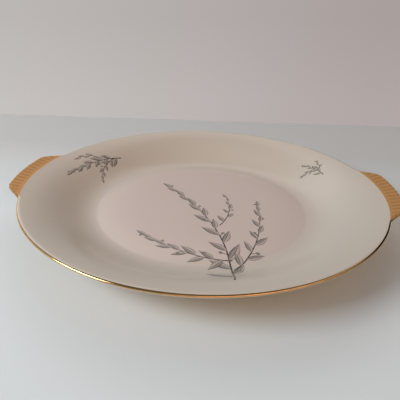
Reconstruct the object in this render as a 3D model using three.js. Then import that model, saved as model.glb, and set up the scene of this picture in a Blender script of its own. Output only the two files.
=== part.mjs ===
// Handled platter: a round porcelain serving platter with a flat well, a cove that runs out into a
// broad rim, a foot ring, two ribbed gilt lug handles and a gilt line along the lip between them.
// Millimetres, +Z up. The origin is the centre of the foot's resting face; +X runs to the right handle.
import * as THREE from 'three';
import { mergeVertices } from 'three/addons/utils/BufferGeometryUtils.js';

// Body
const RIM_DIAMETER = 300; // over the gilt lip, without the handles
const RIM_HEIGHT = 27; // table to the top of the lip
const RIM_SLOPE = 14; // degrees, at the lip
const RIM_REACH = 31; // how far in from the lip that slope holds sway
const LIP_THICKNESS = 3;
const WELL_DIAMETER = 180; // flat floor, up to where the cove starts
const COVE_REACH = 20; // how far out from the floor the cove stays shallow
const FLOOR_THICKNESS = 3.8;

// Foot ring, set under the edge of the well
const FOOT_HEIGHT = 2.7;
const FOOT_INSET = 5.5; // in from the edge of the well
const FOOT_SEAT_WIDTH = 7; // where it joins the body
const FOOT_FACE_WIDTH = 3; // flat resting face
const FOOT_EDGE_ROUNDING = 0.8; // either side of the resting face

// Gilt line: the rounded outermost edge of the lip
const GILT_WIDTH = 1.4;

// Lug handles, which carry the rim's slope on outwards
const HANDLE_LENGTH = 104; // along the lip
const HANDLE_PROJECTION = 11.2; // beyond the lip
const HANDLE_THICKNESS = 3.2; // at the outer edge
const HANDLE_END_RUN = 24; // length of the S-curve that brings each end back to the lip

// Ribs that fan out across each handle
const RIB_PITCH = 5.6; // along the lip
const RIB_DEPTH = 0.6;
const RIB_SETBACK = 2.6; // plain band between the lip and the ribs
const RIB_RUN_IN = 2.6; // length over which a groove reaches its depth
const RIB_END_MARGIN = 9; // plain stretch at each end of the handle
const EDGE_SCALLOP = 0.35; // how far each groove bites into the outer edge

// Luting joint between neighbouring pieces
const JOINT_GAP = 0.3;

// Facets
const ROUND_SEGMENTS = 72;
const TOP_STEPS = 14;
const UNDERSIDE_STEPS = 10;
const NOSE_STEPS = 6;
const GILT_STEPS = 40;
const HANDLE_END_STEPS = 4;
const NOSE_SHARE = 0.8; // share of the gilt width that the handle's rounded edge takes

const rimRadius = RIM_DIAMETER / 2;
const giltRadius = rimRadius - GILT_WIDTH;
const bodyRadius = giltRadius - JOINT_GAP;
const wellRadius = WELL_DIAMETER / 2;
const lipMiddle = RIM_HEIGHT - LIP_THICKNESS / 2;
const rimRise = Math.tan(THREE.MathUtils.degToRad(RIM_SLOPE));
const handleHalfAngle = HANDLE_LENGTH / 2 / rimRadius;
const jointAngle = JOINT_GAP / rimRadius;

const porcelain = () => new THREE.MeshStandardMaterial({ color: 0xe6dccb, roughness: 0.16 });
const bareFoot = () => new THREE.MeshStandardMaterial({ color: 0xdfd4c1, roughness: 0.6 });
const satinGold = () => new THREE.MeshStandardMaterial({ color: 0xb98c4c, roughness: 0.4, metalness: 1 });
const brightGold = () => new THREE.MeshStandardMaterial({ color: 0xcb9c55, roughness: 0.15, metalness: 1 });

const platter = new THREE.Group();

function addPiece(name, geometry, material) {
  const mesh = new THREE.Mesh(geometry, material);
  mesh.name = name;
  platter.add(mesh);
}

// Keeps only the positions, so that points shared along a seam become one.
function weld(geometry) {
  geometry.deleteAttribute('normal');
  geometry.deleteAttribute('uv');
  return mergeVertices(geometry);
}

// Solid of revolution about Z, from a profile of (radius, height) points.
function revolve(profile) {
  const geometry = new THREE.LatheGeometry(profile, ROUND_SEGMENTS);
  geometry.rotateX(Math.PI / 2);
  return weld(geometry);
}

// Skin through closed rings of points, with a flat cap on the first ring and on the last.
function loft(rings) {
  const count = rings[0].length;
  const last = (rings.length - 1) * count;
  const index = [];
  for (let ring = 0; ring < last; ring += count) {
    for (let point = 0; point < count; point += 1) {
      const next = (point + 1) % count;
      index.push(ring + point, ring + count + next, ring + next);
      index.push(ring + point, ring + count + point, ring + count + next);
    }
  }
  for (let point = 1; point < count - 1; point += 1) {
    index.push(0, point, point + 1);
    index.push(last, last + point + 1, last + point);
  }
  const geometry = new THREE.BufferGeometry().setFromPoints(rings.flat());
  geometry.setIndex(index);
  return geometry;
}

// Turns a section of (radius, height) points to its angle about Z, counted from +X.
function sectionAt(angle, section) {
  const toSpace = ({ x, y }) => new THREE.Vector3(x * Math.cos(angle), x * Math.sin(angle), y);
  return section.map(toSpace);
}

// Rounded edge from its lower corner to its upper one: two quarter ellipses that share a depth.
function nose(rootRadius, middle, depth, below, above) {
  const points = [];
  for (let step = 0; step <= NOSE_STEPS; step += 1) {
    const turn = Math.PI * (step / NOSE_STEPS - 0.5);
    const reach = turn < 0 ? below : above;
    points.push(new THREE.Vector2(rootRadius + depth * Math.cos(turn), middle + reach * Math.sin(turn)));
  }
  return points;
}

// One face of the platter from the flat of the well to the lip: level at the floor, sloping at the lip.
function coveAndRim(floorHeight, lipHeight, steps) {
  const curve = new THREE.CubicBezierCurve(
    new THREE.Vector2(wellRadius, floorHeight),
    new THREE.Vector2(wellRadius + COVE_REACH, floorHeight),
    new THREE.Vector2(bodyRadius - RIM_REACH, lipHeight - RIM_REACH * rimRise),
    new THREE.Vector2(bodyRadius, lipHeight),
  );
  return curve.getPoints(steps);
}

function bodyGeometry() {
  const floorTop = FOOT_HEIGHT + FLOOR_THICKNESS;
  const top = coveAndRim(floorTop, RIM_HEIGHT, TOP_STEPS);
  const underside = coveAndRim(FOOT_HEIGHT, RIM_HEIGHT - LIP_THICKNESS, UNDERSIDE_STEPS);
  return revolve([
    new THREE.Vector2(0, FOOT_HEIGHT),
    ...underside,
    ...top.reverse(),
    new THREE.Vector2(0, floorTop),
  ]);
}

function footGeometry() {
  const outer = wellRadius - FOOT_INSET;
  const inner = outer - FOOT_SEAT_WIDTH;
  const middle = (outer + inner) / 2;
  const seat = FOOT_HEIGHT - JOINT_GAP;
  const faceOuter = middle + FOOT_FACE_WIDTH / 2;
  const faceInner = middle - FOOT_FACE_WIDTH / 2;
  return revolve([
    new THREE.Vector2(faceInner, 0),
    new THREE.Vector2(faceOuter, 0),
    new THREE.Vector2(faceOuter + FOOT_EDGE_ROUNDING, FOOT_EDGE_ROUNDING / 2),
    new THREE.Vector2(outer, seat),
    new THREE.Vector2(inner, seat),
    new THREE.Vector2(faceInner - FOOT_EDGE_ROUNDING, FOOT_EDGE_ROUNDING / 2),
    new THREE.Vector2(faceInner, 0),
  ]);
}

function giltLineGeometry(startAngle, endAngle) {
  const section = nose(giltRadius, lipMiddle, GILT_WIDTH, LIP_THICKNESS / 2, LIP_THICKNESS / 2);
  const rings = [];
  for (let step = 0; step <= GILT_STEPS; step += 1) {
    rings.push(sectionAt(THREE.MathUtils.lerp(startAngle, endAngle, step / GILT_STEPS), section));
  }
  return loft(rings);
}

const ribAngle = RIB_PITCH / rimRadius;
const ribCount = Math.floor((HANDLE_LENGTH - 2 * RIB_END_MARGIN) / RIB_PITCH);
const ribbedHalfAngle = (ribCount / 2 + 0.5) * ribAngle;

// Depth of the grooves across the handle, from 0 on a rib's crest to 1 at the bottom of a groove.
function groove(angle) {
  const place = angle / ribAngle + ribCount / 2;
  const fromGroove = Math.abs(place - Math.round(place));
  const beyondLast = Math.abs(angle) >= ribbedHalfAngle;
  return beyondLast ? 0 : 1 - Math.sin(Math.PI * fromGroove);
}

// Handle section at an angle from the handle's middle: root at the lip, rounded outer edge, ribbed top.
function handleSection(angle) {
  const endRun = HANDLE_END_RUN / rimRadius;
  const fullness = THREE.MathUtils.smoothstep(handleHalfAngle - Math.abs(angle), 0, endRun);
  const depth = GILT_WIDTH * NOSE_SHARE;
  const width = GILT_WIDTH + HANDLE_PROJECTION * fullness - EDGE_SCALLOP * groove(angle);
  const flat = width - depth;
  const middleAt = (reach) => lipMiddle + rimRise * reach;
  const halfAt = (reach) => {
    const share = reach / (GILT_WIDTH + HANDLE_PROJECTION);
    return THREE.MathUtils.lerp(LIP_THICKNESS, HANDLE_THICKNESS, share) / 2;
  };
  const cutAt = (reach) => {
    const fade = THREE.MathUtils.smoothstep(reach, RIB_SETBACK, RIB_SETBACK + RIB_RUN_IN);
    return RIB_DEPTH * groove(angle) * fade;
  };
  const topAt = (share) => {
    const reach = flat * share;
    return new THREE.Vector2(giltRadius + reach, middleAt(reach) + halfAt(reach) - cutAt(reach));
  };
  const half = halfAt(flat);
  return [
    new THREE.Vector2(giltRadius, lipMiddle - LIP_THICKNESS / 2),
    ...nose(giltRadius + flat, middleAt(flat), depth, half, half - cutAt(flat)),
    ...[0.74, 0.46, 0.34, 0.22, 0].map(topAt),
  ];
}

// Angles at which the handle is cut into sections: a few at each plain end, then on each groove's
// bottom, on each rib's crest and on the flanks between them.
function handleAngles() {
  const end = [];
  for (let step = 0; step < HANDLE_END_STEPS; step += 1) {
    end.push(THREE.MathUtils.lerp(handleHalfAngle, ribbedHalfAngle, step / HANDLE_END_STEPS));
  }
  const ribbed = [];
  for (let rib = 0; rib <= ribCount; rib += 1) {
    const bottom = (rib - ribCount / 2) * ribAngle;
    ribbed.push(...[-0.5, -0.2, 0, 0.2].map((share) => bottom + share * ribAngle));
  }
  return [...end.map((angle) => -angle), ...ribbed, ribbedHalfAngle, ...end.reverse()];
}

function handleGeometry(facing) {
  const rings = handleAngles().map((angle) => sectionAt(facing + angle, handleSection(angle)));
  return loft(rings);
}

const lineStart = handleHalfAngle + jointAngle;
const lineEnd = Math.PI - lineStart;

addPiece('platter_body', bodyGeometry(), porcelain());
addPiece('foot_ring', footGeometry(), bareFoot());
addPiece('right_handle', handleGeometry(0), satinGold());
addPiece('left_handle', handleGeometry(Math.PI), satinGold());
addPiece('back_gilt_line', giltLineGeometry(lineStart, lineEnd), brightGold());
addPiece('front_gilt_line', giltLineGeometry(Math.PI + lineStart, Math.PI + lineEnd), brightGold());

export default platter;
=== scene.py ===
"""Handled platter: ivory porcelain with two ribbed gilt lug handles and printed leaf sprigs.

Places are in metres in the part's own frame: +Z up, +X to the right handle, and the origin at the centre of
the foot's resting face. Sizes that the frame doesn't give are in millimetres, times MM.
"""

import logging
import math
from collections.abc import Callable, Sequence
from dataclasses import dataclass, field
from enum import Enum, auto
from functools import partial

import bpy
from mathutils import Matrix, Vector


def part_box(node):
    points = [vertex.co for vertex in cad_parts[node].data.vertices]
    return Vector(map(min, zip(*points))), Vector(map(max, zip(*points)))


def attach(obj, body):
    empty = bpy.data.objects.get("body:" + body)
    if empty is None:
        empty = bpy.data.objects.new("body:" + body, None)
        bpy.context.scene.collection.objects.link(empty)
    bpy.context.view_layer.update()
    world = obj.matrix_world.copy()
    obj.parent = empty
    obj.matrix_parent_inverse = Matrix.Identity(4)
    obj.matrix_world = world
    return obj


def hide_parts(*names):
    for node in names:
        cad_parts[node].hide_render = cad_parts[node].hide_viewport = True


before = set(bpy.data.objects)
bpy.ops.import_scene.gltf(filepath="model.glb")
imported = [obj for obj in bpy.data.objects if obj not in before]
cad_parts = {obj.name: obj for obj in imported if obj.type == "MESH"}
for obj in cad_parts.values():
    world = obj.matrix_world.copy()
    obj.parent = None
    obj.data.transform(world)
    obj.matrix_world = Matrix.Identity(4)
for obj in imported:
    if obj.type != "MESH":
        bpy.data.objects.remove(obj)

log = logging.getLogger("platter")

MM = 0.001
IMAGE_PIXELS = 400
SENSOR_MM = 36.0
SHARP_ANGLE = math.radians(40.0)
WITHOUT_HEIGHT = (1.0, 1.0, 0.0)
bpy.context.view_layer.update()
LUG_MARKS = ("lug_angle", "reach", "groove_fade", "edge_fade", "on_edge")

Points = list[Vector]
Faces = list[tuple[int, ...]]
Marks = dict[str, Sequence[float]]
Span = tuple[float, float]
Socket = bpy.types.NodeSocket
Adder = Callable[..., Socket]


class Side(Enum):
    """A handle's side of the platter, as the angle about Z that it faces."""

    RIGHT = 0.0
    LEFT = math.pi


class Stretch(Enum):
    """A stretch of lip between the handles, as the angle about Z of its middle."""

    BACK = 0.5 * math.pi
    FRONT = 1.5 * math.pi


class Lit(Enum):
    """The part of its side over which a zone of the surround gives light."""

    WHOLE = auto()
    LOW = auto()
    RAISED = auto()
    RAISED_NOT_RIGHT = auto()
    HIGH = auto()


def linear(colour: str) -> tuple[float, float, float, float]:
    """Turns an sRGB hex colour to linear light.

    Args:
        colour: The colour as "#RRGGBB".

    Returns:
        Red, green, blue and an alpha of 1.
    """
    shares = [int(colour[place:place + 2], 16) / 255 for place in (1, 3, 5)]
    light = [share / 12.92 if share <= 0.04045 else ((share + 0.055) / 1.055) ** 2.4 for share in shares]
    return (*light, 1.0)


def pattern_scale(size_mm: float) -> float:
    """Gives the scale at which a pattern's features have a size in millimetres."""
    return 1.0 / (size_mm * MM)


def metres(span_mm: Span) -> Span:
    """Turns a span in millimetres to metres."""
    return (span_mm[0] * MM, span_mm[1] * MM)


def direction(azimuth: float, elevation: float = 0.0) -> Vector:
    """Gives the unit vector at an angle about Z, counted from +X, and an angle above the horizon."""
    level = math.cos(elevation)
    return Vector((level * math.cos(azimuth), level * math.sin(azimuth), math.sin(elevation)))


def add_node(
    tree: bpy.types.NodeTree, kind: str, inputs: dict | Sequence = (), output: str = "", **settings
) -> Socket | None:
    """Adds a node with its settings, values and links.

    Args:
        tree: The tree that the node goes into.
        kind: The node's type name.
        inputs: Values, output sockets or lists of them, in the order of the node's inputs or by their names.
        output: The name of the output that is wanted, if it isn't the first one in use.
        **settings: The node's own options.

    Returns:
        The output socket, if the node has any.
    """
    node = tree.nodes.new(kind)
    for name, value in settings.items():
        setattr(node, name, value)
    places = inputs if isinstance(inputs, dict) else dict(enumerate(inputs))
    for place, given in places.items():
        for value in given if isinstance(given, list) else [given]:
            if isinstance(value, Socket):
                tree.links.new(value, node.inputs[place])
            else:
                node.inputs[place].default_value = value
    if output:
        return node.outputs[output]
    return next((socket for socket in node.outputs if socket.enabled), None)


def emptied(owner: bpy.types.ID) -> Adder:
    """Empties the node tree of a material or a world.

    Args:
        owner: The material or the world.

    Returns:
        The function that adds a node to its tree.
    """
    owner.use_nodes = True
    owner.node_tree.nodes.clear()
    return partial(add_node, owner.node_tree)


def new_piece(
    name: str, points: Points, faces: Faces, marks: Marks | None = None, template: bool = False
) -> bpy.types.Object:
    """Makes a mesh object at the origin.

    Args:
        name: The object's name.
        points: Its points, in the part's frame.
        faces: Its faces, as numbers of points.
        marks: A value for each point, by the name of the attribute that keeps it.
        template: Whether it stays out of the scene, flat, for a tree to set copies of.

    Returns:
        The object.
    """
    mesh = bpy.data.meshes.new(name)
    mesh.from_pydata(points, [], faces)
    for mark, values in (marks or {}).items():
        mesh.attributes.new(mark, "FLOAT", "POINT").data.foreach_set("value", values)
    piece = bpy.data.objects.new(name, mesh)
    if not template:
        mesh.validate()
        mesh.shade_smooth()
        mesh.set_sharp_from_angle(angle=SHARP_ANGLE)
        bpy.context.scene.collection.objects.link(piece)
    return piece


def turned(section: Points, angle: float) -> Points:
    """Turns a section of (radius, height) points to its angle about Z, counted from +X."""
    return [Vector((p.x * math.cos(angle), p.x * math.sin(angle), p.y)) for p in section]


def loft(
    name: str, rings: list[Points], around: bool = False, marks: Marks | None = None
) -> bpy.types.Object:
    """Skins closed rings of points, with a cap at each end or joined end to end.

    Args:
        name: The piece's name.
        rings: The rings, all with as many points.
        around: Whether the last ring joins the first.
        marks: A value for each point, by the name of the attribute that keeps it.

    Returns:
        The piece.
    """
    count = len(rings[0])
    faces = []
    for ring in range(len(rings) if around else len(rings) - 1):
        here = ring * count
        there = (ring + 1) % len(rings) * count
        for point in range(count):
            after = (point + 1) % count
            faces.append((here + point, there + point, there + after, here + after))
    if not around:
        last = (len(rings) - 1) * count
        faces.append(tuple(range(count)))
        faces.append(tuple(reversed(range(last, last + count))))
    return new_piece(name, [point for ring in rings for point in ring], faces, marks)


def revolve(name: str, profile: Points, steps: int) -> bpy.types.Object:
    """Turns a profile that starts and ends on the axis into a closed solid of revolution.

    Args:
        name: The piece's name.
        profile: Points (radius, height) from the axis, outwards below and back to the axis above.
        steps: How many steps make the full turn.

    Returns:
        The piece.
    """
    inner = profile[1:-1]
    count = len(inner)
    points = [point for step in range(steps) for point in turned(inner, math.tau * step / steps)]
    bottom, top = len(points), len(points) + 1
    points += [Vector((0.0, 0.0, profile[0].y)), Vector((0.0, 0.0, profile[-1].y))]
    faces = []
    for step in range(steps):
        here, there = step * count, (step + 1) % steps * count
        faces.append((bottom, there, here))
        faces.append((top, here + count - 1, there + count - 1))
        faces += [(here + k, there + k, there + k + 1, here + k + 1) for k in range(count - 1)]
    return new_piece(name, points, faces)


def bezier(start: Vector, leave: Vector, arrive: Vector, end: Vector, steps: int) -> Points:
    """Gives points along a cubic curve that leaves towards one point and arrives from another."""
    shares = [(step / steps, 1.0 - step / steps) for step in range(steps + 1)]
    return [s**3 * start + 3 * s * s * t * leave + 3 * s * t * t * arrive + t**3 * end for t, s in shares]


def smooth_share(value: float, low: float, high: float) -> float:
    """Eases from 0, where the value is low, to 1, where it is high."""
    share = min(max((value - low) / (high - low), 0.0), 1.0)
    return share * share * (3.0 - 2.0 * share)


@dataclass
class GeometryTree:
    """A Geometry Nodes tree with named inputs, which is run on a piece and leaves a plain mesh."""

    name: str
    sockets: dict[str, tuple[str, ...]]
    tree: bpy.types.NodeTree = field(init=False)
    add: Adder = field(init=False)
    keys: dict[str, str] = field(init=False)
    given: dict[str, Socket] = field(init=False)

    def __post_init__(self) -> None:
        """Makes the tree with its inputs, which are listed by their kind, and its output."""
        self.tree = bpy.data.node_groups.new(self.name, "GeometryNodeTree")
        self.add = partial(add_node, self.tree)
        self.keys = {}
        for kind, labels in {"Geometry": ("Geometry",), **self.sockets}.items():
            for label in labels:
                socket = self.tree.interface.new_socket(
                    label, in_out="INPUT", socket_type=f"NodeSocket{kind}"
                )
                self.keys[label] = socket.identifier
        self.tree.interface.new_socket("Geometry", in_out="OUTPUT", socket_type="NodeSocketGeometry")
        outputs = self.add("NodeGroupInput").node.outputs
        self.given = {label: outputs[label] for label in self.keys}

    def end_in(self, geometry: Socket) -> None:
        """Closes the tree: instances become mesh, and the mesh gets the material from the input Finish.

        Args:
            geometry: What the tree has made.
        """
        real = self.add("GeometryNodeRealizeInstances", (geometry,))
        dressed = self.add("GeometryNodeSetMaterial", {"Geometry": real, "Material": self.given["Finish"]})
        self.add("NodeGroupOutput", (dressed,))

    def run(self, piece: bpy.types.Object, values: dict) -> None:
        """Runs the tree on a piece and leaves the result as the piece's own mesh.

        Args:
            piece: The piece whose mesh goes in.
            values: The tree's inputs by name.
        """
        modifier = piece.modifiers.new(self.name, "NODES")
        modifier.node_group = self.tree
        for label, value in values.items():
            modifier[self.keys[label]] = value
        depsgraph = bpy.context.evaluated_depsgraph_get()
        made = bpy.data.meshes.new_from_object(piece.evaluated_get(depsgraph), depsgraph=depsgraph)
        piece.modifiers.remove(modifier)
        plain = piece.data
        made.name = f"{piece.name}_mesh"
        piece.data = made
        bpy.data.meshes.remove(plain)


@dataclass(frozen=True)
class GlazedPorcelain:
    """Ivory porcelain under a clear gloss glaze, fired to a smooth glassy skin.

    The eye gets a soft body colour, a little rosier on the floor of the well than on the rim, a broad gloss
    and a barely uneven surface where the glaze has flowed.
    """

    rim_colour: str = "#C9BBAA"
    well_colour: str = "#CFBAAF"
    cloud_colour: str = "#C2B49F"
    cloud_size_mm: float = 45.0
    cloud_share: float = 0.22
    ripple_size_mm: float = 9.0
    ripple_height_mm: float = 0.012
    roughness: float = 0.17
    refraction: float = 1.5
    well_edge_mm: Span = (72.0, 108.0)

    def colour(self, add: Adder) -> Socket:
        """Adds the nodes for the colour of the body under its glaze.

        Args:
            add: Adds a node to the material's tree.

        Returns:
            The colour.
        """
        place = add("ShaderNodeTexCoord", output="Object")
        flat = add("ShaderNodeVectorMath", (place, WITHOUT_HEIGHT), operation="MULTIPLY")
        radius = add("ShaderNodeVectorMath", (flat,), operation="LENGTH")
        edge = metres(self.well_edge_mm)
        outside = add("ShaderNodeMapRange", (radius, *edge), interpolation_type="SMOOTHSTEP")
        well, rim = linear(self.well_colour), linear(self.rim_colour)
        zones = add("ShaderNodeMix", {"Factor": outside, "A": well, "B": rim}, data_type="RGBA")
        scale = pattern_scale(self.cloud_size_mm)
        clouds = add("ShaderNodeTexNoise", {"Vector": place, "Scale": scale, "Detail": 2.0})
        amount = add("ShaderNodeMath", (clouds, self.cloud_share), operation="MULTIPLY")
        cloud = linear(self.cloud_colour)
        return add("ShaderNodeMix", {"Factor": amount, "A": zones, "B": cloud}, data_type="RGBA")

    def ripple(self, add: Adder) -> Socket:
        """Adds the nodes for the glaze's slight unevenness.

        Args:
            add: Adds a node to the material's tree.

        Returns:
            The normal.
        """
        place = add("ShaderNodeTexCoord", output="Object")
        scale = pattern_scale(self.ripple_size_mm)
        flow = add("ShaderNodeTexNoise", {"Vector": place, "Scale": scale, "Detail": 1.0})
        return add("ShaderNodeBump", {"Height": flow, "Distance": self.ripple_height_mm * MM})

    def end_in(self, add: Adder, colour: Socket) -> None:
        """Ends a material in the glaze.

        Args:
            add: Adds a node to the material's tree.
            colour: The colour that is seen through the glaze.
        """
        shader = add("ShaderNodeBsdfPrincipled", {
            "Base Color": colour,
            "Normal": self.ripple(add),
            "Roughness": self.roughness,
            "IOR": self.refraction,
        })
        add("ShaderNodeOutputMaterial", (shader,))

    def material(self) -> bpy.types.Material:
        """Makes the material.

        Returns:
            The material.
        """
        material = bpy.data.materials.new("glazed_ivory_porcelain")
        add = emptied(material)
        self.end_in(add, self.colour(add))
        return material


@dataclass(frozen=True)
class BarePorcelain:
    """Porcelain wiped clean of glaze before firing, so that the foot doesn't stick to the kiln shelf.

    It is paler than the glazed body, matt and finely gritty, with a grey bloom from years of sliding on
    tables.
    """

    colour: str = "#D9D0C0"
    worn_colour: str = "#B3A896"
    grit_size_mm: float = 0.6
    grit_height_mm: float = 0.02
    bloom_size_mm: float = 14.0
    worn_from: Span = (0.45, 0.75)
    roughness: float = 0.72

    def material(self) -> bpy.types.Material:
        """Makes the material.

        Returns:
            The material.
        """
        material = bpy.data.materials.new("bare_porcelain")
        add = emptied(material)
        place = add("ShaderNodeTexCoord", output="Object")
        grit, bloom = (
            add("ShaderNodeTexNoise", {"Vector": place, "Scale": pattern_scale(size_mm), "Detail": detail})
            for size_mm, detail in ((self.grit_size_mm, 3.0), (self.bloom_size_mm, 4.0))
        )
        worn = add("ShaderNodeMapRange", (bloom, *self.worn_from))
        clean, grey = linear(self.colour), linear(self.worn_colour)
        colour = add("ShaderNodeMix", {"Factor": worn, "A": clean, "B": grey}, data_type="RGBA")
        bump = add("ShaderNodeBump", {"Height": grit, "Distance": self.grit_height_mm * MM})
        shader = add(
            "ShaderNodeBsdfPrincipled", {"Base Color": colour, "Normal": bump, "Roughness": self.roughness}
        )
        add("ShaderNodeOutputMaterial", (shader,))
        return material


@dataclass(frozen=True)
class SatinGilding:
    """Burnished gold fired over ribbed porcelain, from a little way out of the lip to the lug's edge.

    The crests of the ribs are rubbed to a satin shine. The grooves, which the burnisher doesn't reach, stay
    duller, and they are coloured a browner, darker gold that is partly that duller gold and partly painted
    shade in the grooves. The lug's edge is as bright as the lip's line that runs into it. The gold stops
    on a brushed border, and the porcelain under the lug is left in its glaze.
    """

    glaze: GlazedPorcelain
    crest_colour: str = "#E2AC6E"
    # groove gold: partly the duller unburnished gold, partly painted shade in the grooves
    groove_colour: str = "#CB9A60"
    crest_roughness: float = 0.48
    groove_roughness: float = 0.55
    edge_roughness: float = 0.12
    edge_from: Span = (0.3, 0.6)
    rub_size_mm: float = 1.6
    rub_share: float = 0.25
    border_mm: Span = (1.6, 1.85)

    def material(self) -> bpy.types.Material:
        """Makes the material, which reads the reach from the lip, the grooves and the edge from the piece.

        Returns:
            The material.
        """
        material = bpy.data.materials.new("satin_gold")
        add = emptied(material)
        place = add("ShaderNodeTexCoord", output="Object")
        groove, reach, on_edge = (
            add("ShaderNodeAttribute", output="Fac", attribute_name=name)
            for name in ("groove", "reach", "on_edge")
        )
        gilt = add("ShaderNodeMapRange", (reach, *metres(self.border_mm)), interpolation_type="SMOOTHSTEP")
        scale = pattern_scale(self.rub_size_mm)
        rub = add("ShaderNodeTexNoise", {"Vector": place, "Scale": scale, "Detail": 3.0})
        rubbed = add("ShaderNodeMath", (rub, self.rub_share), operation="MULTIPLY")
        depth = add("ShaderNodeMath", (groove, rubbed), operation="ADD", use_clamp=True)
        # the grooves get a browner, darker gold: partly unburnished gold, partly painted shade in the
        # grooves
        crest, hollow = linear(self.crest_colour), linear(self.groove_colour)
        gold = add("ShaderNodeMix", {"Factor": depth, "A": crest, "B": hollow}, data_type="RGBA")
        satin = add("ShaderNodeMapRange", (depth, 0.0, 1.0, self.crest_roughness, self.groove_roughness))
        shine = add("ShaderNodeMapRange", (on_edge, *self.edge_from, satin, self.edge_roughness))
        under = self.glaze.colour(add)
        colour = add("ShaderNodeMix", {"Factor": gilt, "A": under, "B": gold}, data_type="RGBA")
        roughness = add("ShaderNodeMapRange", (gilt, 0.0, 1.0, self.glaze.roughness, shine))
        shader = add(
            "ShaderNodeBsdfPrincipled", {"Base Color": colour, "Roughness": roughness, "Metallic": gilt}
        )
        add("ShaderNodeOutputMaterial", (shader,))
        return material


@dataclass(frozen=True)
class BrightGilding:
    """Bright gold brushed along the lip and fired to a mirror, with the brush's slight unevenness."""

    colour: str = "#DDAE72"
    thin_colour: str = "#C39A68"
    brush_size_mm: float = 7.0
    thin_from: Span = (0.4, 0.7)
    roughness: Span = (0.05, 0.12)

    def material(self) -> bpy.types.Material:
        """Makes the material.

        Returns:
            The material.
        """
        material = bpy.data.materials.new("bright_gold")
        add = emptied(material)
        place = add("ShaderNodeTexCoord", output="Object")
        scale = pattern_scale(self.brush_size_mm)
        brush = add("ShaderNodeTexNoise", {"Vector": place, "Scale": scale, "Detail": 4.0})
        thin = add("ShaderNodeMapRange", (brush, *self.thin_from))
        full, faint = linear(self.colour), linear(self.thin_colour)
        colour = add("ShaderNodeMix", {"Factor": thin, "A": full, "B": faint}, data_type="RGBA")
        roughness = add("ShaderNodeMapRange", (thin, 0.0, 1.0, *self.roughness))
        shader = add(
            "ShaderNodeBsdfPrincipled", {"Base Color": colour, "Roughness": roughness, "Metallic": 1.0}
        )
        add("ShaderNodeOutputMaterial", (shader,))
        return material


@dataclass(frozen=True)
class PrintedInk:
    """Warm grey transfer print sunk into the glaze: as glossy as that, and thin where the leaf is light."""

    glaze: GlazedPorcelain
    colour: str = "#3D3934"
    leaf_share: float = 0.26
    shaded_share: float = 0.4
    shaded_from: Span = (-0.1, 0.5)
    line_share: float = 0.64
    outline_from: Span = (0.72, 0.95)
    midrib_until: Span = (0.04, 0.16)
    veins: float = 9.0
    vein_slant: float = -0.25
    vein_share: float = 0.16

    def material(self) -> bpy.types.Material:
        """Makes the material, which reads its places on each leaf from the piece.

        Returns:
            The material.
        """
        material = bpy.data.materials.new("printed_grey_ink")
        add = emptied(material)
        along, across = (
            add("ShaderNodeAttribute", output="Fac", attribute_name=name) for name in ("along", "across")
        )
        out = add("ShaderNodeMath", (across,), operation="ABSOLUTE")
        outline, midrib = (
            add("ShaderNodeMapRange", (out, *places, *shares), interpolation_type="SMOOTHSTEP")
            for places, shares in (
                (self.outline_from, (0.0, self.line_share)),
                (self.midrib_until, (self.line_share, 0.0)),
            )
        )
        darkest = self.leaf_share + self.shaded_share
        shaded = add("ShaderNodeMapRange", (across, *self.shaded_from, self.leaf_share, darkest))
        slant = add("ShaderNodeMath", (out, self.vein_slant, along), operation="MULTIPLY_ADD")
        wave = add("ShaderNodeMath", (slant, self.veins * math.tau), operation="MULTIPLY")
        vein = add("ShaderNodeMath", (wave,), operation="SINE")
        veined = add("ShaderNodeMath", (vein, self.vein_share, shaded), operation="MULTIPLY_ADD")
        lines = add("ShaderNodeMath", (outline, midrib), operation="MAXIMUM")
        density = add("ShaderNodeMath", (veined, lines), operation="ADD", use_clamp=True)
        under = self.glaze.colour(add)
        ink = linear(self.colour)
        colour = add("ShaderNodeMix", {"Factor": density, "A": under, "B": ink}, data_type="RGBA")
        self.glaze.end_in(add, colour)
        return material


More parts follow.
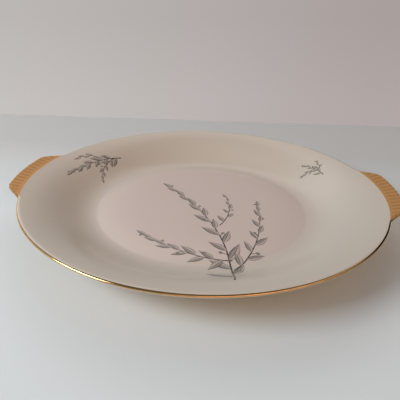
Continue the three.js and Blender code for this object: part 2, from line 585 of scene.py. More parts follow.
@dataclass
class PlatterBody:
    """The pressed dish: flat well, cove, broad rim and rounded lip."""

    rim_radius: float
    rim_height: float
    foot_height: float
    rim_slope: float = math.radians(14.0)
    rim_reach: float = 30.5 * MM
    lip_thickness: float = 3.0 * MM
    lip_depth: float = 2.2 * MM
    roll_depth: float = 2.8 * MM
    well_radius: float = 90.0 * MM
    cove_reach: float = 20.0 * MM
    cove_slope: float = math.radians(1.0)
    floor_thickness: float = 3.8 * MM
    flat_radius: float = 54.0 * MM
    flat_shares: tuple[float, ...] = (0.0, 0.3, 0.65)
    below_shares: tuple[float, ...] = (0.0, 0.25, 0.5, 0.75, 1.0)
    floor_fall: float = 2.2 * MM
    floor_power: float = 2.8
    floor_steps: int = 18
    face_steps: int = 56
    lip_steps: int = 18
    round_steps: int = 256

    @property
    def outward(self) -> Vector:
        """The rim's direction at the lip, outwards and up."""
        return Vector((math.cos(self.rim_slope), math.sin(self.rim_slope)))

    @property
    def upward(self) -> Vector:
        """The direction out of the rim's upper face at the lip."""
        return Vector((-math.sin(self.rim_slope), math.cos(self.rim_slope)))

    @property
    def lip_root(self) -> Vector:
        """The middle of the lip, where its rounded edge starts."""
        radius = self.rim_radius - self.lip_depth * self.outward.x
        return Vector((radius, self.rim_height - self.lip_thickness / 2 * self.upward.y))

    def lip(self, proud: float = 0.0, low: float = -math.pi / 2, high: float = math.pi / 2) -> Points:
        """Gives the lip's rounded edge from below to above, where it rolls over more slowly.

        Args:
            proud: How far the points stand off the porcelain.
            low: The turn at which the edge starts, from straight down to straight up.
            high: The turn at which it ends.

        Returns:
            Points (radius, height).
        """
        half = self.lip_thickness / 2 + proud
        points = []
        for step in range(self.lip_steps + 1):
            turn = low + (high - low) * step / self.lip_steps
            depth = self.roll_depth if turn > 0.0 else self.lip_depth
            reach = self.lip_depth - depth + (depth + proud) * math.cos(turn)
            points.append(self.lip_root + reach * self.outward + half * math.sin(turn) * self.upward)
        return points

    def face(self, start: Vector, slope: float, end: Vector) -> Points:
        """Gives one face of the cove and the rim.

        Args:
            start: Where the face leaves the well.
            slope: Its slope there.
            end: Where it meets the lip.

        Returns:
            Points (radius, height).
        """
        leave = start + self.cove_reach * Vector((1.0, math.tan(slope)))
        reach = self.rim_reach / self.outward.x
        return bezier(start, leave, end - reach * self.outward, end, self.face_steps)

    def floor(self) -> Points:
        """Gives the upper face of the well: flat, then falling a little towards the cove.

        Returns:
            Points (radius, height), from the axis outwards.
        """
        height = self.foot_height + self.floor_thickness
        points = [Vector((self.flat_radius * share, height)) for share in self.flat_shares]
        for step in range(self.floor_steps + 1):
            share = step / self.floor_steps
            radius = self.flat_radius + (self.well_radius - self.flat_radius) * share
            points.append(Vector((radius, height - self.floor_fall * share**self.floor_power)))
        return points

    def build(self, finish: bpy.types.Material) -> bpy.types.Object:
        """Makes the dish and dresses it.

        Args:
            finish: The glaze.

        Returns:
            The piece.
        """
        lip = self.lip()
        floor = self.floor()
        top = self.face(floor[-1], self.cove_slope, lip[-1])
        below = [Vector((self.well_radius * share, self.foot_height)) for share in self.below_shares]
        under = self.face(below[-1], 0.0, lip[0])
        profile = [*below, *under[1:], *lip[1:-1], *reversed(top), *reversed(floor[:-1])]
        piece = revolve("platter_dish", profile, self.round_steps)
        piece.data.materials.append(finish)
        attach(piece, "root")
        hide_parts("platter_body")
        return piece


@dataclass
class FootRing:
    """The ring that the platter stands on, with a resting face wiped bare of glaze."""

    outer_radius: float
    height: float
    seat_width: float = 7.0 * MM
    face_width: float = 3.0 * MM
    rounding: float = 0.8 * MM
    sunk: float = 0.4 * MM
    bare_height: float = 0.25 * MM
    rounding_steps: int = 6
    round_steps: int = 192

    def section(self) -> Points:
        """Gives the ring's section: flared walls, two rounded corners and the resting face.

        Returns:
            Points (radius, height).
        """
        middle = self.outer_radius - self.seat_width / 2
        outer = [Vector((middle + self.seat_width / 2, self.height + self.sunk))]
        for step in range(self.rounding_steps + 1):
            turn = math.pi / 2 * step / self.rounding_steps
            reach = self.face_width / 2 + self.rounding * math.cos(turn)
            outer.append(Vector((middle + reach, self.rounding * (1.0 - math.sin(turn)))))
        inner = [Vector((2 * middle - point.x, point.y)) for point in reversed(outer)]
        return [*outer, *inner]

    def build(self, glaze: bpy.types.Material, bare: bpy.types.Material) -> bpy.types.Object:
        """Makes the ring and dresses it.

        Args:
            glaze: The finish of its walls.
            bare: The finish of its resting face.

        Returns:
            The piece.
        """
        section = self.section()
        rings = [turned(section, math.tau * step / self.round_steps) for step in range(self.round_steps)]
        piece = loft("foot", rings, around=True)
        piece.data.materials.append(glaze)
        piece.data.materials.append(bare)
        for polygon in piece.data.polygons:
            polygon.material_index = int(polygon.center.z < self.bare_height)
        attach(piece, "root")
        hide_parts("foot_ring")
        return piece


@dataclass
class GiltLine:
    """The gold film over the lip, from one handle to the other."""

    body: PlatterBody
    stretch: Stretch
    half_angle: float
    film: float = 0.015 * MM
    sunk: float = 0.3 * MM
    low: float = math.radians(-14.0)
    high: float = math.radians(44.0)
    steps: int = 220

    def build(self, finish: bpy.types.Material) -> bpy.types.Object:
        """Makes the film and dresses it.

        Args:
            finish: The gold.

        Returns:
            The piece.
        """
        outside = self.body.lip(self.film, self.low, self.high)
        inside = self.body.lip(-self.sunk, self.low, self.high)
        section = [*outside, *reversed(inside)]
        start = self.stretch.value - self.half_angle
        turns = [start + 2 * self.half_angle * step / self.steps for step in range(self.steps + 1)]
        side = self.stretch.name.lower()
        piece = loft(f"{side}_gilding", [turned(section, turn) for turn in turns])
        piece.data.materials.append(finish)
        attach(piece, "root")
        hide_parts(f"{side}_gilt_line")
        return piece


def rib_tree() -> GeometryTree:
    """Makes the tree that cuts a fan of grooves into a plain lug, and so leaves its ribs.

    Returns:
        The tree. Its mesh brings the attributes lug_angle, groove_fade and edge_fade.
    """
    ribs = GeometryTree("Lug ribs", {
        "Float": ("Rib Angle", "Rib Depth", "Edge Scallop"), "Int": ("Rib Count",), "Material": ("Finish",)
    })
    add = ribs.add
    known = dict(ribs.given)
    for name in ("lug_angle", "groove_fade", "edge_fade"):
        known[name] = add("GeometryNodeInputNamedAttribute", {"Name": name}, data_type="FLOAT")
    for name, operation, *terms in (
        ("half", "MULTIPLY", "Rib Count", 0.5),
        ("turns", "DIVIDE", "lug_angle", "Rib Angle"),
        ("place", "ADD", "turns", "half"),
        ("nearest", "ROUND", "place"),
        ("apart", "SUBTRACT", "place", "nearest"),
        ("distance", "ABSOLUTE", "apart"),
        ("swing", "MULTIPLY", "distance", math.pi),
        ("crest", "SINE", "swing"),
        ("depth", "SUBTRACT", 1.0, "crest"),
        ("from_middle", "ABSOLUTE", "turns"),
        ("reach", "ADD", "half", 0.5),
        ("inside", "LESS_THAN", "from_middle", "reach"),
        ("groove", "MULTIPLY", "depth", "inside"),
        ("cut", "MULTIPLY", "groove", "groove_fade"),
        ("drop", "MULTIPLY", "cut", "Rib Depth"),
        ("bite", "MULTIPLY", "groove", "edge_fade"),
        ("draw", "MULTIPLY", "bite", "Edge Scallop"),
    ):
        values = [known.get(term, term) for term in terms]
        known[name] = add("ShaderNodeMath", values, operation=operation)
    fall = add("ShaderNodeVectorMath", {0: (0.0, 0.0, -1.0), "Scale": known["drop"]}, operation="SCALE")
    where = add("GeometryNodeInputPosition")
    level = add("ShaderNodeVectorMath", (where, (-1.0, -1.0, 0.0)), operation="MULTIPLY")
    inward = add("ShaderNodeVectorMath", (level,), operation="NORMALIZE")
    pull = add("ShaderNodeVectorMath", {0: inward, "Scale": known["draw"]}, operation="SCALE")
    offset = add("ShaderNodeVectorMath", (fall, pull), operation="ADD")
    marked = add(
        "GeometryNodeStoreNamedAttribute",
        {"Geometry": known["Geometry"], "Name": "groove", "Value": known["cut"]},
        data_type="FLOAT", domain="POINT",
    )
    ribs.end_in(add("GeometryNodeSetPosition", {"Geometry": marked, "Offset": offset}))
    return ribs


@dataclass
class LugHandle:
    """A lug that carries the rim's slope on outwards, with S-curved ends and a fan of ribs on top."""

    body: PlatterBody
    side: Side
    projection: float
    length: float = 104.0 * MM
    thickness: float = 3.2 * MM
    end_run: float = 24.0 * MM
    rib_pitch: float = 5.6 * MM
    rib_count: int = 15
    rib_depth: float = 0.30 * MM
    edge_scallop: float = 0.35 * MM
    rib_setback: float = 2.6 * MM
    rib_run_in: float = 2.6 * MM
    film: float = 0.05 * MM
    edge_depth: float = 1.1 * MM
    under_turn: float = math.radians(-70.0)
    steps: int = 320
    top_steps: int = 18
    edge_steps: int = 18

    @property
    def half_angle(self) -> float:
        """The angle from the lug's middle to its ends."""
        return self.length / 2 / self.body.rim_radius

    def half_thickness(self, reach: float) -> float:
        """Gives half the lug's thickness.

        Args:
            reach: How far out from the lip's root.

        Returns:
            The half thickness, with the gold on it.
        """
        share = max(reach, 0.0) / (self.body.lip_depth + self.projection)
        full = self.body.lip_thickness + (self.thickness - self.body.lip_thickness) * share
        return full / 2 + self.film

    def rib_share(self, reach: float) -> float:
        """Gives the share of their depth that the grooves have at a reach out from the lip's root."""
        return smooth_share(reach, self.rib_setback, self.rib_setback + self.rib_run_in)

    def section(self, angle: float) -> tuple[Points, list[tuple[float, ...]]]:
        """Gives the plain lug's section at an angle from its middle.

        Args:
            angle: The angle.

        Returns:
            Points (radius, height), and for each its LUG_MARKS: its angle, its reach out from the lip's root
            on the upper side, how far the grooves cut it down and draw it in, and its share in the edge.
        """
        body = self.body
        fullness = smooth_share(self.half_angle - abs(angle), 0.0, self.end_run / body.rim_radius)
        tip = body.lip_depth + self.film + self.projection * fullness
        inner = body.lip_depth - body.roll_depth
        points = [body.lip_root - self.half_thickness(0.0) * body.upward]
        marks = [(angle, -body.lip_depth, 0.0, 0.0, 0.0)]
        for step in range(self.edge_steps + self.top_steps + 1):
            turn = min(math.pi * (step / self.edge_steps - 0.5), math.pi / 2)
            share = 1.0 - max(step - self.edge_steps, 0) / self.top_steps
            lip_edge = body.roll_depth if turn > 0.0 else body.lip_depth
            edge = lip_edge + (self.edge_depth - lip_edge) * fullness
            flat = inner + (tip - edge - inner) * share
            reach = flat + edge * math.cos(turn)
            rise = self.half_thickness(flat) * math.sin(turn)
            points.append(body.lip_root + reach * body.outward + rise * body.upward)
            on_edge = max(math.cos(turn), 0.0)
            marks.append((
                angle,
                reach if turn > self.under_turn else -body.lip_depth,
                self.rib_share(flat) * max(math.sin(turn), 0.0),
                self.rib_share(tip - edge) * on_edge,
                on_edge,
            ))
        return points, marks

    def build(self, ribs: GeometryTree, finish: bpy.types.Material) -> bpy.types.Object:
        """Makes the lug, cuts its ribs and dresses it.

        Args:
            ribs: The tree that cuts the ribs.
            finish: The gold.

        Returns:
            The piece.
        """
        rings = []
        marks = []
        for step in range(self.steps + 1):
            angle = self.half_angle * (2.0 * step / self.steps - 1.0)
            points, values = self.section(angle)
            rings.append(turned(points, self.side.value + angle))
            marks += values
        side = self.side.name.lower()
        piece = loft(f"{side}_lug", rings, marks=dict(zip(LUG_MARKS, zip(*marks))))
        ribs.run(piece, {
            "Rib Angle": self.rib_pitch / self.body.rim_radius,
            "Rib Count": self.rib_count,
            "Rib Depth": self.rib_depth,
            "Edge Scallop": self.edge_scallop,
            "Finish": finish,
        })
        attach(piece, "root")
        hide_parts(f"{side}_handle")
        return piece


@dataclass(frozen=True)
class LeafShape:
    """A slightly curved leaf of unit length and width."""

    fullness: float = 0.78
    foot_width: float = 0.03
    bend: float = 0.35
    layer: float = 0.3
    steps: int = 14
    rows: int = 6

    def template(self) -> bpy.types.Object:
        """Makes the leaf for a tree to set copies of, with its places along and across.

        Returns:
            The leaf, outside the scene.
        """
        points, along, across = [], [], []
        for step in range(self.steps + 1):
            place = step / self.steps
            breadth = math.sin(math.pi * place**self.fullness) + self.foot_width
            for row in range(self.rows + 1):
                side = 2.0 * row / self.rows - 1.0
                points.append(Vector((place, 0.5 * side * breadth + self.bend * place * place, self.layer)))
                along.append(place)
                across.append(side)
        width = self.rows + 1
        corners = [step * width + row for step in range(self.steps) for row in range(self.rows)]
        faces = [(k, k + width, k + width + 1, k + 1) for k in corners]
        return new_piece("leaf", points, faces, {"along": along, "across": across}, template=True)


@dataclass(frozen=True)
class BerryShape:
    """A round berry of unit width on a stalk."""

    stalk: float = 1.5
    stalk_width: float = 0.2
    beyond_stalk: float = 0.45
    layer: float = 0.6
    steps: int = 18

    def template(self) -> bpy.types.Object:
        """Makes the berry for a tree to set copies of, with its edge marked by across.

        Returns:
            The berry, outside the scene.
        """
        half = self.stalk_width / 2
        corners = ((0.0, -half), (self.stalk, -half), (self.stalk, half), (0.0, half))
        middle = Vector((self.stalk + self.beyond_stalk, 0.0, self.layer))
        turns = [math.tau * step / self.steps for step in range(self.steps)]
        points = [Vector((x, y, 0.0)) for x, y in corners]
        points += [middle, *(middle + 0.5 * direction(turn) for turn in turns)]
        faces = [(0, 1, 2, 3), *((4, 5 + k, 5 + (k + 1) % self.steps) for k in range(self.steps))]
        across = [1.0] * len(corners) + [0.0] + [1.0] * self.steps
        return new_piece("berry", points, faces, {"across": across}, template=True)


@dataclass(frozen=True)
class Growth:
    """How leaves or berries stand along a stem, to its two sides by turns."""

    shape: str
    count: str
    turns: Span
    first_side: float
    sway: float = 0.14
    tip_share: float = 0.6
    size_shares: Span = (0.88, 1.1)
    size_seed: int = 7

    def copies(self, twig: GeometryTree, stem: Socket, size: Socket) -> Socket:
        """Adds the nodes that set the copies.

        Args:
            twig: The tree, whose inputs give the shape and the count.
            stem: The stem's curve.
            size: The shape's length, width and layer.

        Returns:
            The copies.
        """
        add = twig.add
        number = twig.given[self.count]
        index = add("GeometryNodeInputIndex")
        total = add("ShaderNodeMath", (number, 1.0), operation="ADD")
        places = add("GeometryNodeCurveToPoints", {"Curve": stem, "Count": total}, mode="COUNT")
        parity = add("ShaderNodeMath", (index, 2.0), operation="MODULO")
        sides = (2.0 * self.first_side, -self.first_side)
        sign = add("ShaderNodeMath", (parity, *sides), operation="MULTIPLY_ADD")
        turn = add("ShaderNodeMapRange", (index, 0.0, number, *self.turns))
        sway = add(
            "FunctionNodeRandomValue",
            {"Min": -self.sway, "Max": self.sway, "Seed": twig.given["Seed"]},
            data_type="FLOAT",
        )
        angle = add("ShaderNodeMath", (sign, turn, sway), operation="MULTIPLY_ADD")
        tangent = places.node.outputs["Tangent"]
        ahead = add("FunctionNodeAlignRotationToVector", {"Vector": tangent}, axis="X", pivot_axis="Z")
        aside = add("FunctionNodeAxisAngleToRotation", {"Axis": (0.0, 0.0, 1.0), "Angle": angle})
        shrink = add("ShaderNodeMapRange", (index, 0.0, number, 1.0, self.tip_share))
        least, most = self.size_shares
        vary = add(
            "FunctionNodeRandomValue", {"Min": least, "Max": most, "Seed": self.size_seed}, data_type="FLOAT"
        )
        share = add("ShaderNodeMath", (shrink, vary), operation="MULTIPLY")
        return add("GeometryNodeInstanceOnPoints", {
            "Points": places,
            "Selection": add("ShaderNodeMath", (index, 0.5), operation="GREATER_THAN"),
            "Instance": add("GeometryNodeObjectInfo", {"Object": twig.given[self.shape]}, "Geometry"),
            "Rotation": add("FunctionNodeRotateRotation", {"Rotation": ahead, "Rotate By": aside}),
            "Scale": add("ShaderNodeVectorMath", {0: size, "Scale": share}, operation="SCALE"),
        })


LEAF_GROWTH = Growth("Leaf", "Leaves", turns=(0.85, 0.0), first_side=1.0)
BERRY_GROWTH = Growth("Berry", "Berries", turns=(1.0, 0.7), first_side=-1.0)
STEM_STEPS = 48
STEM_TIP_SHARE = 0.35
WELD_DISTANCE = 0.001 * MM


def twig_tree() -> GeometryTree:
    """Makes the tree that grows a leafy twig along a curve and lays it on the glaze as a thin film.

    Returns:
        The tree. It adds the twig to the mesh that goes in.
    """
    twig = GeometryTree("Leafy twig", {
        "Vector": ("Root", "Bend", "Tip"),
        "Float": ("Stem Width", "Leaf Length", "Leaf Width", "Berry Size", "Film"),
        "Int": ("Leaves", "Berries", "Seed"),
        "Object": ("Leaf", "Berry", "Glaze"),
        "Material": ("Finish",),
    })
    add, given = twig.add, twig.given
    stem = add(
        "GeometryNodeCurveQuadraticBezier",
        {"Resolution": STEM_STEPS, "Start": given["Root"], "Middle": given["Bend"], "End": given["Tip"]},
    )
    taper = add("ShaderNodeMapRange", (add("GeometryNodeSplineParameter"), 0.0, 1.0, 1.0, STEM_TIP_SHARE))
    width = add("ShaderNodeMath", (given["Stem Width"], taper), operation="MULTIPLY")
    ribbon = add("GeometryNodeCurvePrimitiveLine", {"Start": (-0.5, 0.0, 0.0), "End": (0.5, 0.0, 0.0)})
    stroke = add("GeometryNodeCurveToMesh", {"Curve": stem, "Profile Curve": ribbon, "Scale": width})
    dark = add(
        "GeometryNodeStoreNamedAttribute", {"Geometry": stroke, "Name": "across", "Value": 1.0},
        data_type="FLOAT", domain="POINT",
    )
    leaf_size = add("ShaderNodeCombineXYZ", (given["Leaf Length"], given["Leaf Width"], 1.0))
    berry_size = add("ShaderNodeCombineXYZ", (given["Berry Size"], given["Berry Size"], 1.0))
    leaves = LEAF_GROWTH.copies(twig, stem, leaf_size)
    berries = BERRY_GROWTH.copies(twig, stem, berry_size)
    flat = add("GeometryNodeJoinGeometry", ([dark, leaves, berries],))
    real = add("GeometryNodeRealizeInstances", (flat,))

    across, away, layer = add("ShaderNodeSeparateXYZ", (add("GeometryNodeInputPosition"),)).node.outputs
    dish = add("GeometryNodeObjectInfo", {"Object": given["Glaze"]}, "Geometry")
    over = add("ShaderNodeCombineXYZ", (across, away, 1.0))
    landing = add(
        "GeometryNodeRaycast",
        {"Target Geometry": dish, "Source Position": over, "Ray Direction": (0, 0, -1), "Ray Length": 2.0},
        "Hit Position",
    )
    below_top = add("ShaderNodeMath", (layer, 1.0), operation="SUBTRACT")
    depth = add("ShaderNodeMath", (below_top, given["Film"]), operation="MULTIPLY")
    sunk = add("ShaderNodeCombineXYZ", {"Z": depth})
    place = add("ShaderNodeVectorMath", (landing, sunk), operation="ADD")
    laid = add("GeometryNodeSetPosition", {"Geometry": real, "Position": place})
    lift = add("ShaderNodeCombineXYZ", {"Z": given["Film"]})
    raised = add(
        "GeometryNodeExtrudeMesh", {"Mesh": laid, "Offset": lift, "Offset Scale": 2.0, "Individual": False}
    )
    under = add("GeometryNodeFlipFaces", {"Mesh": laid})
    shell = add("GeometryNodeJoinGeometry", ([raised, under],))
    closed = add("GeometryNodeMergeByDistance", {"Geometry": shell, "Distance": WELD_DISTANCE})
    bend = add("GeometryNodeInputMeshEdgeAngle")
    edges = add("ShaderNodeMath", (bend, SHARP_ANGLE), operation="GREATER_THAN")
    crisp = add(
        "GeometryNodeSetShadeSmooth", {"Geometry": closed, "Selection": edges, "Shade Smooth": False},
        domain="EDGE",
    )
    twig.end_in(add("GeometryNodeJoinGeometry", ([given["Geometry"], crisp],)))
    return twig


@dataclass(frozen=True)
class Twig:
    """One twig of a print: its curve in plan and its leaves and berries, in millimetres."""

    root: Span
    bend: Span
    tip: Span
    leaves: int
    leaf_length: float
    leaf_width: float
    stem_width: float
    berries: int = 0
    berry_size: float = 3.0

    def inputs(self, seed: int) -> dict:
        """Gives the twig's sizes as the tree's inputs.

        Args:
            seed: The seed of the twig's small chances.

        Returns:
            The values by the inputs' names.
        """
        curve = {"Root": self.root, "Bend": self.bend, "Tip": self.tip}
        return {
            **{label: (*metres(place), 0.0) for label, place in curve.items()},
            "Stem Width": self.stem_width * MM,
            "Leaves": self.leaves,
            "Leaf Length": self.leaf_length * MM,
            "Leaf Width": self.leaf_width * MM,
            "Berries": self.berries,
            "Berry Size": self.berry_size * MM,
            "Seed": seed,
        }


@dataclass
class SprigPrint:
    """A sprig printed on the glaze, made of a few twigs that share a stem."""

    name: str
    twigs: tuple[Twig, ...]
    film: float = 0.04 * MM

    def build(self, tree: GeometryTree, settings: dict) -> bpy.types.Object:
        """Grows the twigs onto the dish and dresses them.

        Args:
            tree: The tree that grows a twig.
            settings: The tree's inputs that all twigs share: leaf, berry, glazed dish and ink.

        Returns:
            The piece.
        """
        piece = new_piece(self.name, [], [])
        for seed, twig in enumerate(self.twigs):
            tree.run(piece, {**twig.inputs(seed), **settings, "Film": self.film})
        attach(piece, "root")
        return piece


WELL_SPRIG = SprigPrint("well_sprig", (
    Twig((30, -124), (32, -42), (-30, 30), 16, 22.0, 7.0, 1.4, berries=7, berry_size=3.6),
    Twig((30, -94), (54, -62), (50, 2), 11, 17.0, 5.6, 1.1, berries=4, berry_size=3.2),
    Twig((29, -82), (0, -86), (-38, -58), 11, 17.0, 5.6, 1.1, berries=4, berry_size=3.2),
    Twig((18, -36), (30, -14), (22, 16), 7, 12.0, 4.2, 0.9, berries=2, berry_size=2.6),
))
LEFT_RIM_SPRIG = SprigPrint("left_rim_sprig", (
    Twig((-91, 77), (-113, 64), (-125, 24), 12, 14.0, 5.0, 1.1, berries=5, berry_size=2.8),
    Twig((-97, 73), (-106, 58), (-100, 37), 7, 11.0, 3.8, 0.9, berries=2, berry_size=2.4),
    Twig((-107, 65), (-121, 64), (-128, 50), 6, 10.0, 3.4, 0.8, berries=2, berry_size=2.2),
))
RIGHT_RIM_SPRIG = SprigPrint("right_rim_sprig", (
    Twig((113, 54), (109, 66), (99, 75), 8, 8.5, 3.2, 0.9, berries=2, berry_size=2.2),
    Twig((110, 61), (113, 68), (110, 76), 5, 7.0, 2.7, 0.8, berries=1, berry_size=2.0),
    Twig((107, 66), (101, 66), (96, 62), 5, 7.0, 2.7, 0.8, berries=1, berry_size=2.0),
))


@dataclass
class PhotoCamera:
    """The camera at the photograph's viewing angle, as a place over the platter and three turns.

    The place is counted from the centre of the lip, in radii of the rim. The shift is small: the photograph
    was cut a little off its middle.
    """

    body: PlatterBody
    place: tuple[float, float, float] = (0.1443, -2.196, 0.9902)
    focal_pixels: float = 419.0
    yaw: float = -0.1073
    tilt: float = 0.4579
    roll: float = 0.013
    shift_pixels: Span = (14.7, -1.5)
    clip_start: float = 10 * MM

    def build(self) -> None:
        """Makes the camera and gives it to the scene."""
        ahead = direction(math.pi / 2 - self.yaw, -self.tilt)
        level = direction(-self.yaw)
        steep = level.cross(ahead)
        right = math.cos(self.roll) * level + math.sin(self.roll) * steep
        up = -math.sin(self.roll) * level + math.cos(self.roll) * steep
        data = bpy.data.cameras.new("photo_camera")
        data.sensor_width = SENSOR_MM
        data.lens = SENSOR_MM * self.focal_pixels / IMAGE_PIXELS
        data.shift_x, data.shift_y = (pixels / IMAGE_PIXELS for pixels in self.shift_pixels)
        data.clip_start = self.clip_start
        camera = bpy.data.objects.new("photo_camera", data)
        turn = Matrix((right, up, -ahead)).transposed()
        lip_centre = Vector((0.0, 0.0, self.body.lip_root.y))
        place = lip_centre + self.body.rim_radius * Vector(self.place)
        camera.matrix_world = Matrix.Translation(place) @ turn.to_4x4()
        bpy.context.scene.collection.objects.link(camera)
        bpy.context.scene.camera = camera


@dataclass(frozen=True)
class LightZone:
    """A soft zone of the surround: its colour, the angle about Z of its middle, and the part that is lit."""

    colour: str
    azimuth: float
    lit: Lit


@dataclass
class Studio:
    """A pale floor that ends behind the platter, a soft light at the left, and a surround of soft zones.

    The surround is dark low down behind and at the right, so that the glaze and the gold have something to
    mirror. The camera, and what mirrors the space behind the platter, see a plain pale backdrop instead.
    """

    floor_colour: str = "#E2E4E0"
    # painted shade: the floor's darker colour behind the platter
    far_floor_colour: str = "#C8C6C1"
    far_from: Span = (-0.02, 0.16)
    floor_roughness: float = 0.6
    floor_reach: float = 4.0
    back_edge: Span = (0.146, 0.436)
    backdrop_left: str = "#BCB8B5"
    backdrop_right: str = "#A99F9D"
    backdrop_turn: Span = (-0.5, 0.3)
    low_glow: float = 1.11
    low_from: Span = (-0.05, -0.22)
    upper_glow: float = 1.8
    upper_axis: tuple[float, float, float] = (-0.7, 0.0, 0.7)
    upper_from: Span = (0.36, 0.6)
    mirrored_from: Span = (0.5, 0.8)
    above: str = "#3C4249"
    above_from: Span = (0.4, 0.85)
    zones: tuple[LightZone, ...] = (
        LightZone("#F4F4F4", math.radians(92.0), Lit.RAISED_NOT_RIGHT),
        LightZone("#767E85", math.radians(180.0), Lit.WHOLE),
        LightZone("#4A4641", math.radians(240.0), Lit.LOW),
        LightZone("#F6CDAD", math.radians(300.0), Lit.RAISED),
        LightZone("#BEBEBE", math.radians(0.0), Lit.HIGH),
    )
    zone_strength: float = 3.05
    zone_power: float = 4.0
    low_until: Span = (0.2, 0.6)
    raised_from: Span = (0.12, 0.48)
    high_from: Span = (0.44, 0.66)
    right_from: Span = (0.28, 0.5)
    key_colour: str = "#EAF4FF"
    key_power: float = 16.8
    key_width: float = 0.8
    key_height: float = 0.5
    key_distance: float = 1.5
    key_azimuth: float = math.radians(205.0)
    key_elevation: float = math.radians(32.0)

    def floor(self) -> None:
        """Makes the floor."""
        reach = self.floor_reach
        left_back, right_back = self.back_edge
        plan = ((-reach, -reach), (reach, -reach), (reach, right_back), (-reach, left_back))
        floor = new_piece("floor", [Vector((x, y, 0.0)) for x, y in plan], [(0, 1, 2, 3)])
        material = bpy.data.materials.new("matt_white_board")
        add = emptied(material)
        place = add("ShaderNodeTexCoord", output="Object")
        away = add("ShaderNodeSeparateXYZ", (place,), "Y")
        # painted shade: the floor's colour darkens towards the back, behind the platter
        far = add("ShaderNodeMapRange", (away, *self.far_from))
        near_tone, far_tone = linear(self.floor_colour), linear(self.far_floor_colour)
        colour = add("ShaderNodeMix", {"Factor": far, "A": near_tone, "B": far_tone}, data_type="RGBA")
        shader = add("ShaderNodeBsdfPrincipled", {"Base Color": colour, "Roughness": self.floor_roughness})
        add("ShaderNodeOutputMaterial", (shader,))
        floor.data.materials.append(material)

    def key_light(self) -> None:
        """Makes the soft light."""
        data = bpy.data.lights.new("soft_window", "AREA")
        data.energy = self.key_power
        data.shape = "RECTANGLE"
        data.size = self.key_width
        data.size_y = self.key_height
        data.color = linear(self.key_colour)[:3]
        light = bpy.data.objects.new("soft_window", data)
        light.visible_camera = False
        towards = direction(self.key_azimuth, self.key_elevation)
        light.location = self.key_distance * towards
        light.rotation_mode = "QUATERNION"
        light.rotation_quaternion = (-towards).to_track_quat("-Z", "Y")
        bpy.context.scene.collection.objects.link(light)

    def surround_light(self, add: Adder, towards: Socket, level: Socket, beside: Socket) -> Socket:
        """Adds the nodes for the light of the zones, which run softly into each other, and of the one above.

        Args:
            add: Adds a node to the world's tree.
            towards: The direction that is looked at.
            level: The same, without its height.
            beside: The share of light that stays towards the right.

        Returns:
            The colour.
        """
        height = add("ShaderNodeSeparateXYZ", (towards,), "Z")
        heights = {
            Lit.LOW: (*self.low_until, 1.0, 0.0),
            Lit.RAISED: (*self.raised_from, 0.0, 1.0),
            Lit.HIGH: (*self.high_from, 0.0, 1.0),
        }
        lit = {
            part: add("ShaderNodeMapRange", (height, *span), interpolation_type="SMOOTHSTEP")
            for part, span in heights.items()
        }
        lit[Lit.WHOLE] = 1.0
        lit[Lit.RAISED_NOT_RIGHT] = add("ShaderNodeMath", (lit[Lit.RAISED], beside), operation="MULTIPLY")
        around = (0.0, 0.0, 0.0)
        for zone in self.zones:
            cosine = add("ShaderNodeVectorMath", (level, direction(zone.azimuth)), operation="DOT_PRODUCT")
            facing = add("ShaderNodeMath", (cosine, 0.0), operation="MAXIMUM")
            share = add("ShaderNodeMath", (facing, self.zone_power), operation="POWER")
            amount = add("ShaderNodeMath", (share, lit[zone.lit]), operation="MULTIPLY")
            colour = linear(zone.colour)[:3]
            light = add("ShaderNodeVectorMath", {0: colour, "Scale": amount}, operation="SCALE")
            around = add("ShaderNodeVectorMath", (around, light), operation="ADD")
        overhead = add("ShaderNodeMapRange", (height, *self.above_from), interpolation_type="SMOOTHSTEP")
        above = linear(self.above)
        return add("ShaderNodeMix", {"Factor": overhead, "A": around, "B": above}, data_type="RGBA")

    def backdrop(self, add: Adder, towards: Socket, level: Socket) -> Socket:
        """Adds the nodes for the backdrop, which is lighter low down and at the upper left.

        Args:
            add: Adds a node to the world's tree.
            towards: The direction that is looked at.
            level: The same, without its height.

        Returns:
            The colour.
        """
        aside = add("ShaderNodeSeparateXYZ", (level,), "X")
        height = add("ShaderNodeSeparateXYZ", (towards,), "Z")
        turn = add("ShaderNodeMapRange", (aside, *self.backdrop_turn))
        left, right = linear(self.backdrop_left), linear(self.backdrop_right)
        plain = add("ShaderNodeMix", {"Factor": turn, "A": left, "B": right}, data_type="RGBA")
        low = add("ShaderNodeMapRange", (height, *self.low_from, 1.0, self.low_glow))
        upper_left = add("ShaderNodeVectorMath", (towards, self.upper_axis), operation="DOT_PRODUCT")
        glow = add("ShaderNodeMapRange", (upper_left, *self.upper_from, low, self.upper_glow))
        return add("ShaderNodeVectorMath", {0: plain, "Scale": glow}, operation="SCALE")

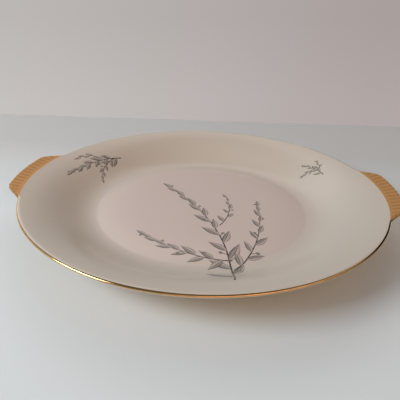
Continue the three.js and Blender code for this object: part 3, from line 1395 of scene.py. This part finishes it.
    def surround(self) -> None:
        """Makes the world: the zones as light, and the backdrop for the camera and for what mirrors it."""
        world = bpy.data.worlds.new("soft_surround")
        add = emptied(world)
        towards = add("ShaderNodeTexCoord", output="Generated")
        across, away, _ = add("ShaderNodeSeparateXYZ", (towards,)).node.outputs
        flat = add("ShaderNodeVectorMath", (towards, WITHOUT_HEIGHT), operation="MULTIPLY")
        level = add("ShaderNodeVectorMath", (flat,), operation="NORMALIZE")
        beside = add("ShaderNodeMapRange", (across, *self.right_from, 1.0, 0.0))
        light = self.surround_light(add, towards, level, beside)
        backdrop = self.backdrop(add, towards, level)
        path = add("ShaderNodeLightPath").node.outputs
        mirrors = (path["Is Glossy Ray"], path["Is Transmission Ray"])
        mirrored = add("ShaderNodeMath", mirrors, operation="MAXIMUM")
        shown = add("ShaderNodeMath", (mirrored, beside), operation="MULTIPLY")
        behind = add("ShaderNodeMapRange", (away, *self.mirrored_from, 0.0, shown))
        seen = add("ShaderNodeMath", (behind, path["Is Camera Ray"]), operation="MAXIMUM")
        colour = add("ShaderNodeMix", {"Factor": seen, "A": light, "B": backdrop}, data_type="RGBA")
        strength = add("ShaderNodeMapRange", (seen, 0.0, 1.0, self.zone_strength, 1.0))
        background = add("ShaderNodeBackground", {"Color": colour, "Strength": strength})
        add("ShaderNodeOutputWorld", (background,))
        bpy.context.scene.world = world

    def build(self) -> None:
        """Makes the whole studio."""
        self.floor()
        self.key_light()
        self.surround()
        bpy.context.scene.view_settings.view_transform = "Standard"


def main() -> None:
    """Builds the platter and its studio around the frame."""
    logging.basicConfig(level=logging.INFO, format="%(name)s: %(message)s")
    body_low, body_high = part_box("platter_body")
    foot_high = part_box("foot_ring")[1]
    line_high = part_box("back_gilt_line")[1]
    handle_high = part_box("right_handle")[1]

    glaze = GlazedPorcelain()
    glaze_material = glaze.material()
    gold_material = SatinGilding(glaze).material()
    line_material = BrightGilding().material()
    ink_material = PrintedInk(glaze).material()

    body = PlatterBody(rim_radius=line_high.y, rim_height=body_high.z, foot_height=body_low.z)
    dish = body.build(glaze_material)
    pieces = [dish]
    foot = FootRing(outer_radius=foot_high.x, height=foot_high.z)
    pieces.append(foot.build(glaze_material, BarePorcelain().material()))
    ribs = rib_tree()
    lugs = [LugHandle(body, side, projection=handle_high.x - line_high.y) for side in Side]
    pieces += [lug.build(ribs, gold_material) for lug in lugs]
    gilt_half_angle = math.pi / 2 - lugs[0].half_angle
    pieces += [GiltLine(body, stretch, gilt_half_angle).build(line_material) for stretch in Stretch]

    twigs = twig_tree()
    leaf, berry = LeafShape().template(), BerryShape().template()
    shared = {"Leaf": leaf, "Berry": berry, "Glaze": dish, "Finish": ink_material}
    pieces += [sprig.build(twigs, shared) for sprig in (WELL_SPRIG, LEFT_RIM_SPRIG, RIGHT_RIM_SPRIG)]

    PhotoCamera(body).build()
    Studio().build()

    for piece in pieces:
        log.info("%s: %d faces", piece.name, len(piece.data.polygons))


if __name__ == "__main__":
    main()
